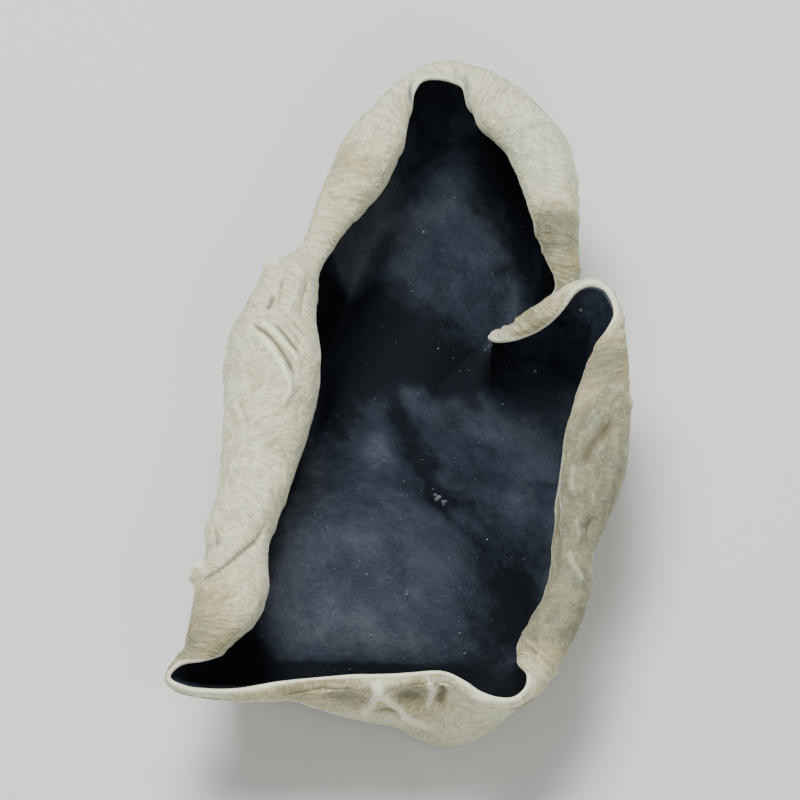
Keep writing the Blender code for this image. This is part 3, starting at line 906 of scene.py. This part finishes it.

# Painted light and shade of the dark face, with its bloom: painted light and thick bloom where the
# share is more than nothing, painted shade where it is less; middle x and y, half widths along x
# and y, and share
LIGHT_SHADE_AND_BLOOM = [
    (-5.7, -20.2, 6.0, 3.0, 0.9),  # the front of the cushion
    (0.2, -21.7, 4.5, 1.8, 0.6),
    (-9.1, -15.9, 2.5, 5.0, 0.5),
    (-3.8, -11.5, 5.5, 5.5, 0.55),
    (-1.7, -1.2, 1.8, 3.4, 0.8),
    (10.3, -5.3, 1.8, 3.6, 0.6),
    (9.5, 1.8, 3.0, 1.5, 0.35),
    (4.8, 24.6, 1.8, 3.2, 0.5),
    (-0.4, 21.5, 3.4, 3.4, 0.7),
    (-4.4, 17.2, 2.0, 3.0, 1.9),  # the left valley of the far lobe
    (-8.2, -3.5, 1.6, 5.5, 1.3),  # under the left roll
    (3.2, 18.4, 4.0, 3.0, 0.25),
    (-1.8, 19.5, 1.8, 4.5, 0.35),
    (6.5, 13.1, 4.0, 1.4, 0.15),
    (3.5, -17.0, 5.0, 4.0, 0.3),
    (-4.4, 12.6, 4.0, 2.3, -1.0),
    (-1.5, 8.4, 6.5, 3.6, -1.3),  # the waist
    (5.5, 7.2, 4.5, 1.8, -1.0),
    (-6.5, 3.5, 2.5, 3.5, -0.6),
    (12.8, 5.3, 2.5, 2.5, -0.1),
    (8.6, 26.0, 1.4, 3.2, -0.9),
    (11.0, 21.0, 1.5, 3.8, -0.9),
    (13.2, 14.4, 1.6, 2.2, -0.7),
    (3.0, 29.3, 2.5, 2.8, -0.9),  # the far notch
    (1.0, 4.6, 1.6, 2.0, 0.45),
    (-0.2, 2.6, 1.0, 2.2, -0.9),
    (1.1, -0.6, 0.9, 2.0, -0.8),
    (2.4, -3.8, 0.9, 2.2, -0.7),
    (3.6, -7.2, 1.5, 1.3, -0.8),  # the pit at the end of the long groove
    (-12.9, -22.0, 3.0, 2.0, -1.0),
    (13.8, 2.1, 3.0, 3.0, 0.4),
    (-4.0, -24.6, 12.0, 1.6, -2.2),  # behind the front rim
    (7.5, -26.6, 4.0, 1.4, -1.4),
    (-17.5, -26.3, 3.0, 2.0, -1.2),  # the front left spout
    (-10.9, -11.0, 1.6, 9.0, 1.3),
    (9.5, -17.5, 2.8, 5.0, -0.7),
]
# The painted light and shade of the dark face, with its bloom, kept for the skin's colour to read
light_shade_and_bloom = np.zeros(len(places))
for across, along, wide, long, share in LIGHT_SHADE_AND_BLOOM:
    apart = np.hypot((places[:, 0] - across) / wide, (places[:, 1] - along) / long)
    light_shade_and_bloom += share * np.exp(-(apart**2))
keep("light_shade_and_bloom", light_shade_and_bloom)

# Where the skin is painted pale beside the edge in the spouts, as scuffing and as a painted
# highlight of its sheen, and where it is curled over the edge, at the sides of the far notch:
# middle, half width, and share
WORN_AND_GLINTING = [((-16.5, -24.5, 12.0), 3.0, 1.0), ((18.2, 8.3, 14.5), 1.8, 1.0)]
CURLED = [((0.9, 28.4, 15.0), 1.5, 1.0), ((5.6, 28.8, 15.0), 1.6, 1.0)]
keep("worn_and_glinting", patches(WORN_AND_GLINTING, places))
keep("curled", patches(CURLED, places))

skin, shader = start_material("spore_face")
ear.data.materials.append(skin)
place = millimetres()
mottle = cloud(place, 0.22, 4.0, 0.62, 0.4)
fine_mottle = cloud(place, 0.9, 3.0, 0.6)
grit = cloud(place, 2.6, 2.0, 0.6)
aslant = Socket.node(
    "ShaderNodeMapping", {"vector_type": "TEXTURE"},
    Vector=place, Rotation=STREAK_TURN, Scale=STREAK_LENGTH,
)
streaks = cloud(aslant, 0.5, 3.0, 0.6, 0.3)
blobs = cloud(place, 0.55, 3.0, 0.6)
patchy_bloom = (mottle - 0.5) * 1.3 + (streaks - 0.5) * 1.1 + (fine_mottle - 0.5) * 0.9
lit_shaded_and_bloomed = own("light_shade_and_bloom") + patchy_bloom + 0.25
dusting = blobs.between(0.35, 0.7) * 0.35 + grit.between(0.2, 0.8) * 0.35 + 0.28
specks = (1 - grains(place, 0.9).between(0.05, 0.10)) * cloud(place, 0.35).between(0.42, 0.6)
near_edge = own("rings").between(SHEET_RINGS - 1.6, SHEET_RINGS - 0.2)
worn_and_glinting_edge = own("rings").between(SHEET_RINGS - 6.0, SHEET_RINGS - 3.0) * own("worn_and_glinting")
leather = cloud(place, 1.3, 4.0, 0.62)
# The skin's colour is painted darker as painted shade in the valleys and paler as painted light on
# the swellings and in the left roll's shadow, mixed with the bloom; by the free edge a pale
# blue-grey line is scuffing and a painted highlight
colour = coated(
    NIGHT,
    (lit_shaded_and_bloomed.between(-0.3, 0.6), SLATE),
    (lit_shaded_and_bloomed.between(0.4, 1.5) * dusting, BLOOM_AND_PAINTED_LIGHT),
    (specks * 0.22, SPECK),
    (worn_and_glinting_edge * 0.6, WORN_EDGE_AND_GLINT),
    (near_edge * cloud(place, 0.8).between(0.3, 0.6) * 0.8, WORN_EDGE_AND_GLINT),
)
Socket.feed(
    shader,
    Base_Color=colour,
    Roughness=fine_mottle * 0.2 - lit_shaded_and_bloomed.between(-0.6, 0.4) * 0.24 + 0.72,
    Specular_IOR_Level=0.16,
    Specular_Tint=(0.72, 0.86, 1.0, 1),
    Normal=bump(leather + grit * 0.5, SKIN_GRAIN),
)


# ---- The felt ----------------------------------------------------------------------------
# The outside, a close coat of short pale hairs that dried to a grey-tan suede. It is paler where it
# is rubbed along ridges and edges, with a painted highlight there and on the rim; it is browner in
# the folds as painted shade, darker olive on the side turned from the light as its own tone and
# painted shade, and shows fine wrinkles.

PALE = (0.62, 0.60, 0.41, 1)
TAN = (0.45, 0.385, 0.20, 1)
ASH = (0.55, 0.565, 0.42, 1)
OLIVE_AND_SHADE = (0.155, 0.16, 0.098, 1)  # where the hairs are thin over the flesh, and painted shade on the side turned from the light
SHADE_IN_FOLDS = (0.13, 0.115, 0.07, 1)  # painted shade down in the folds and grooves
RUBBED_AND_HIGHLIGHT = (0.80, 0.79, 0.59, 1)  # along ridges and edges, as wear and as painted highlight
DULL = (0.36, 0.365, 0.27, 1)  # and there where the felt is olive
RUST = (0.46, 0.30, 0.17, 1)  # small stains
CURLED_SKIN = (0.11, 0.13, 0.17, 1)  # the dark skin where it shows over the edge
NAP_HEIGHT = 0.00024  # of its hairs and wrinkles, in metres

# Where the felt is tanned, and olive past 1, or ashen if the share is less than nothing; the olive
# down the right band is its own tone and painted shade on the side turned from the light: middle,
# half width, and share
TANNED_AND_SHADED = [
    ((-18.0, -25.0, 13.0), 4.5, 1.6),
    ((-4.0, 18.5, 16.0), 5.0, 0.6),
    ((12.0, 21.0, 15.5), 6.5, -0.6),
    ((13.6, 14.2, 15.0), 3.6, 2.3),
    ((17.8, 1.0, 15.0), 3.5, 1.5),
    ((17.6, -5.0, 14.5), 4.2, 1.9),
    ((15.8, -11.5, 14.0), 4.8, 2.3),
    ((14.8, -18.5, 13.8), 4.4, 2.4),
    ((12.8, -24.0, 13.5), 4.2, 2.2),
    ((-9.0, -30.5, 11.0), 4.5, 1.0),
    ((-3.0, -30.5, 11.0), 4.0, 0.8),
    ((3.0, -30.5, 11.5), 3.5, 1.2),
    ((11.8, 6.2, 13.0), 3.0, 1.6),
    ((7.5, -30.0, 10.0), 2.6, -0.8),
    ((0.9, -30.1, 12.2), 1.1, 1.6),
    ((-1.0, -29.8, 9.4), 1.0, 1.0),
    ((-4.6, -30.0, 11.5), 1.6, 0.8),
    ((4.6, -30.2, 11.8), 1.0, -1.0),
    ((-14.5, -3.0, 14.5), 4.0, -0.5),
]
keep("tan", patches(TANNED_AND_SHADED, places))


def times(place, factors):
    return Socket.node("ShaderNodeVectorMath", {"operation": "MULTIPLY"}, _0=place, _1=factors)


felt, shader = start_material("felt")
ear.data.materials.append(felt)
place = millimetres()
sheet_place = Socket.node("ShaderNodeCombineXYZ", X=own("turn_x"), Y=own("turn_y"), Z=own("way"))
tan = own("tan") + (cloud(place, 0.16, 3.0, 0.55, 0.6) - 0.5) * 2.0
striae = cloud(times(sheet_place, (0.6, 0.6, 1.4)), 0.9, 4.0, 0.6, 0.8)
pores = cloud(sheet_place, 1.4, 3.0, 0.6)
nap = cloud(place, 5.0, 3.0, 0.7)
hairs = cloud(times(sheet_place, (1.0, 1.0, 0.3)), 6.0, 3.0, 0.6, 0.6)
rusty = cloud(place, 0.7, 3.0, 0.6)
blotches = cloud(place, 0.6, 3.0, 0.6, 0.5)
proud = own("proud")
olive_and_shade = tan.between(0.6, 1.9)
rubbed_and_highlit_felt = blend(olive_and_shade, RUBBED_AND_HIGHLIGHT, DULL)
worn_and_highlit_felt = blend(olive_and_shade * 0.6, RUBBED_AND_HIGHLIGHT, DULL)
at_edge = 1 - own("rings").between(SHEET_RINGS + 1.4, SHEET_RINGS + 2.5)
past_edge = own("rings").between(SHEET_RINGS + 2.1, SHEET_RINGS + 2.6)
over_edge = past_edge * (1 - own("rings").between(SHEET_RINGS + 3.2, SHEET_RINGS + 4.0))
# The felt's colour: darker olive down the right band as its own tone and as painted shade, browner
# in hollows and grooves as painted shade, and paler on raised parts, crests, the rim and the free
# edge as wear and as painted highlight
colour = coated(
    PALE,
    (tan.between(0.1, 1.0), TAN),
    ((0 - tan).between(0.15, 0.9) * 0.8, ASH),
    (olive_and_shade * (blotches.between(0.35, 0.62) * 0.34 + 0.66), OLIVE_AND_SHADE),
    (striae.between(0.50, 0.75) * 0.14, OLIVE_AND_SHADE),
    ((1 - pores.between(0.32, 0.56)) * 0.30, OLIVE_AND_SHADE),
    ((1 - hairs.between(0.32, 0.52)) * 0.38, OLIVE_AND_SHADE),
    (pores.between(0.48, 0.72) * 0.32, rubbed_and_highlit_felt),
    (hairs.between(0.50, 0.70) * 0.38, rubbed_and_highlit_felt),
    (rusty.between(0.66, 0.78) * 0.45, RUST),
    ((1 - proud.between(-0.26, 0.0)) * 0.7, SHADE_IN_FOLDS),
    (proud.between(0.04, 0.20) * 0.7, rubbed_and_highlit_felt),
    (own("cleft").between(0.15, 0.9) * 0.8, SHADE_IN_FOLDS),
    (own("crest").between(0.25, 0.95) * 0.75, worn_and_highlit_felt),
    (own("rim").between(0.2, 0.9) * 0.7, worn_and_highlit_felt),
    (nap.between(0.5, 0.8) * 0.3, rubbed_and_highlit_felt),
    (at_edge * 0.9, RUBBED_AND_HIGHLIGHT),
    (over_edge * own("curled").between(0.3, 0.8) * 0.8, CURLED_SKIN),
)
Socket.feed(
    shader,
    Base_Color=colour,
    Roughness=nap * 0.15 + 0.82,
    Specular_IOR_Level=0.25,
    Sheen_Weight=0.7,
    Sheen_Roughness=0.25,
    Sheen_Tint=(0.90, 0.90, 0.70, 1),
    Normal=bump(nap * 0.3 + hairs * 0.35 + striae * 0.3 + pores * 0.9, NAP_HEIGHT),
)


# ---- Dust --------------------------------------------------------------------------------
# Crumbs of dust and dried spore that settled on the spore face and stuck to it, so that each
# lies half sunk in the skin.

# The crumbs that are plain to see: x, y and radius
CRUMBS = [
    (-1.4, -2.8, 0.13), (7.6, -11.3, 0.12), (-3.5, -14.3, 0.12), (-2.9, -15.5, 0.14),
    (-1.1, -15.8, 0.17), (0.6, -17.2, 0.19), (-2.5, -20.8, 0.13), (5.2, -20.4, 0.13),
    (5.6, -22.1, 0.12), (11.9, 4.8, 0.17), (2.1, 20.4, 0.17), (-3.8, 18.4, 0.16),
    (3.4, 9.2, 0.10), (15.8, 7.2, 0.18), (9.1, 3.8, 0.10), (-6.5, 0.5, 0.10),
    (3.1, -6.7, 0.22), (3.4, -6.9, 0.26), (3.2, -7.1, 0.20), (3.8, -7.5, 0.24),
    (4.0, -7.4, 0.16), (3.8, -7.8, 0.16), (2.9, -6.0, 0.10), (6.6, -4.4, 0.10),
    (0.9, 14.9, 0.11), (4.9, 24.2, 0.10), (-7.4, -9.8, 0.11), (10.8, -12.6, 0.11),
]

# The small ones are scattered: how many, their radii, from where to where they lie across and
# along the ear, and where along it most of them lie
SMALL_CRUMBS = 32
SMALL_RADII = (0.04, 0.075)
SMALL_ACROSS = (-11, 14)
SMALL_ALONG = (-25, 27, -19)
OUT_OF_ROUND = (0.7, 1.1)  # least and most half width of a crumb over its radius
ABOVE = 30  # height over the ear from which the crumbs are let down on it
CRUMB_DARK = (0.04, 0.05, 0.064, 1)
CRUMB_PALE = (0.12, 0.13, 0.145, 1)

chance = random.Random(11)
crumb_places = list(CRUMBS)
for _ in range(SMALL_CRUMBS):
    across, along = chance.uniform(*SMALL_ACROSS), chance.triangular(*SMALL_ALONG)
    crumb_places.append((across, along, chance.uniform(*SMALL_RADII)))
surface = BVHTree.FromPolygons(
    [vertex.co for vertex in ear.data.vertices], [face.vertices[:] for face in ear.data.polygons]
)
bpy.ops.object.select_all(action="DESELECT")
bpy.ops.mesh.primitive_ico_sphere_add(subdivisions=2, radius=MM)
crumb = bpy.context.object
crumb.name = crumb.data.name = "dust"
crumbs = []
for across, along, radius in crumb_places:
    start = Vector((across, along, ABOVE)) * MM
    spot, _, face, _ = surface.ray_cast(start, Vector((0, 0, -1)))
    if spot is None or felt_faces[face]:
        continue
    copy = crumb.copy()
    copy.data = crumb.data.copy()
    copy.location = spot
    copy.rotation_euler = [chance.uniform(0, math.tau) for _ in range(3)]
    copy.scale = [radius * chance.uniform(*OUT_OF_ROUND) for _ in range(3)]
    bpy.context.collection.objects.link(copy)
    crumbs.append(copy)
bpy.data.objects.remove(crumb)
for copy in crumbs:
    copy.select_set(True)
dust = bpy.context.view_layer.objects.active = crumbs[0]
bpy.ops.object.transform_apply(location=True, rotation=True, scale=True)
bpy.ops.object.join()
dust.name = dust.data.name = "dust"
spore_dust, shader = start_material("spore_dust")
dust.data.materials.append(spore_dust)
dust_tone = cloud(millimetres(), 1.1)
Socket.feed(
    shader,
    Base_Color=blend(dust_tone.between(0.35, 0.65), CRUMB_DARK, CRUMB_PALE),
    Roughness=dust_tone * 0.2 + 0.7,
    Specular_IOR_Level=0.3,
)
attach(dust, "root")


# ---- Floor, light and camera -------------------------------------------------------------
# A plain floor of pale paper, a large soft window high on the far left with a weak light beside
# the camera, and the camera itself, which looks down at the ear from sixty degrees.

FLOOR_SIZE = 6.0
PAPER = (0.62, 0.62, 0.61, 1)
SKY = (0.93, 0.96, 1.0, 1)
SKY_STRENGTH = 0.28

bpy.ops.object.select_all(action="DESELECT")
bpy.ops.mesh.primitive_plane_add(size=FLOOR_SIZE)
floor = bpy.context.object
floor.name = "floor"
paper, shader = start_material("paper")
Socket.feed(shader, Base_Color=PAPER, Roughness=0.9)
floor.data.materials.append(paper)

world = bpy.data.worlds.new("studio")
bpy.context.scene.world = world
world.use_nodes = True
Socket.feed(world.node_tree.nodes["Background"], Color=SKY, Strength=SKY_STRENGTH)


def soft_light(name, place, size, power):
    """A square area light that looks at the ear."""
    bpy.ops.object.light_add(type="AREA", location=place)
    light = bpy.context.object
    light.name = name
    light.rotation_euler = Vector(place).to_track_quat("Z", "Y").to_euler()
    light.data.size = size
    light.data.energy = power


soft_light("window", (-0.07, 0.17, 0.48), 0.24, 4.5)
soft_light("beside_camera", (0.08, -0.38, 0.38), 0.35, 1.5)

LOOKS_AT = Vector((0.0, 0.0003, 0.0095))
DISTANCE = 0.6
ELEVATION = math.radians(60)
FRAME_WIDTH = 0.070  # what the camera sees at that distance
offset = Vector((0, -math.cos(ELEVATION), math.sin(ELEVATION))) * DISTANCE
bpy.ops.object.camera_add(location=LOOKS_AT + offset)
camera = bpy.context.object
camera.rotation_euler = offset.to_track_quat("Z", "Y").to_euler()
camera.data.lens = camera.data.sensor_width * DISTANCE / FRAME_WIDTH
camera.data.clip_start = 0.01
bpy.context.scene.camera = camera
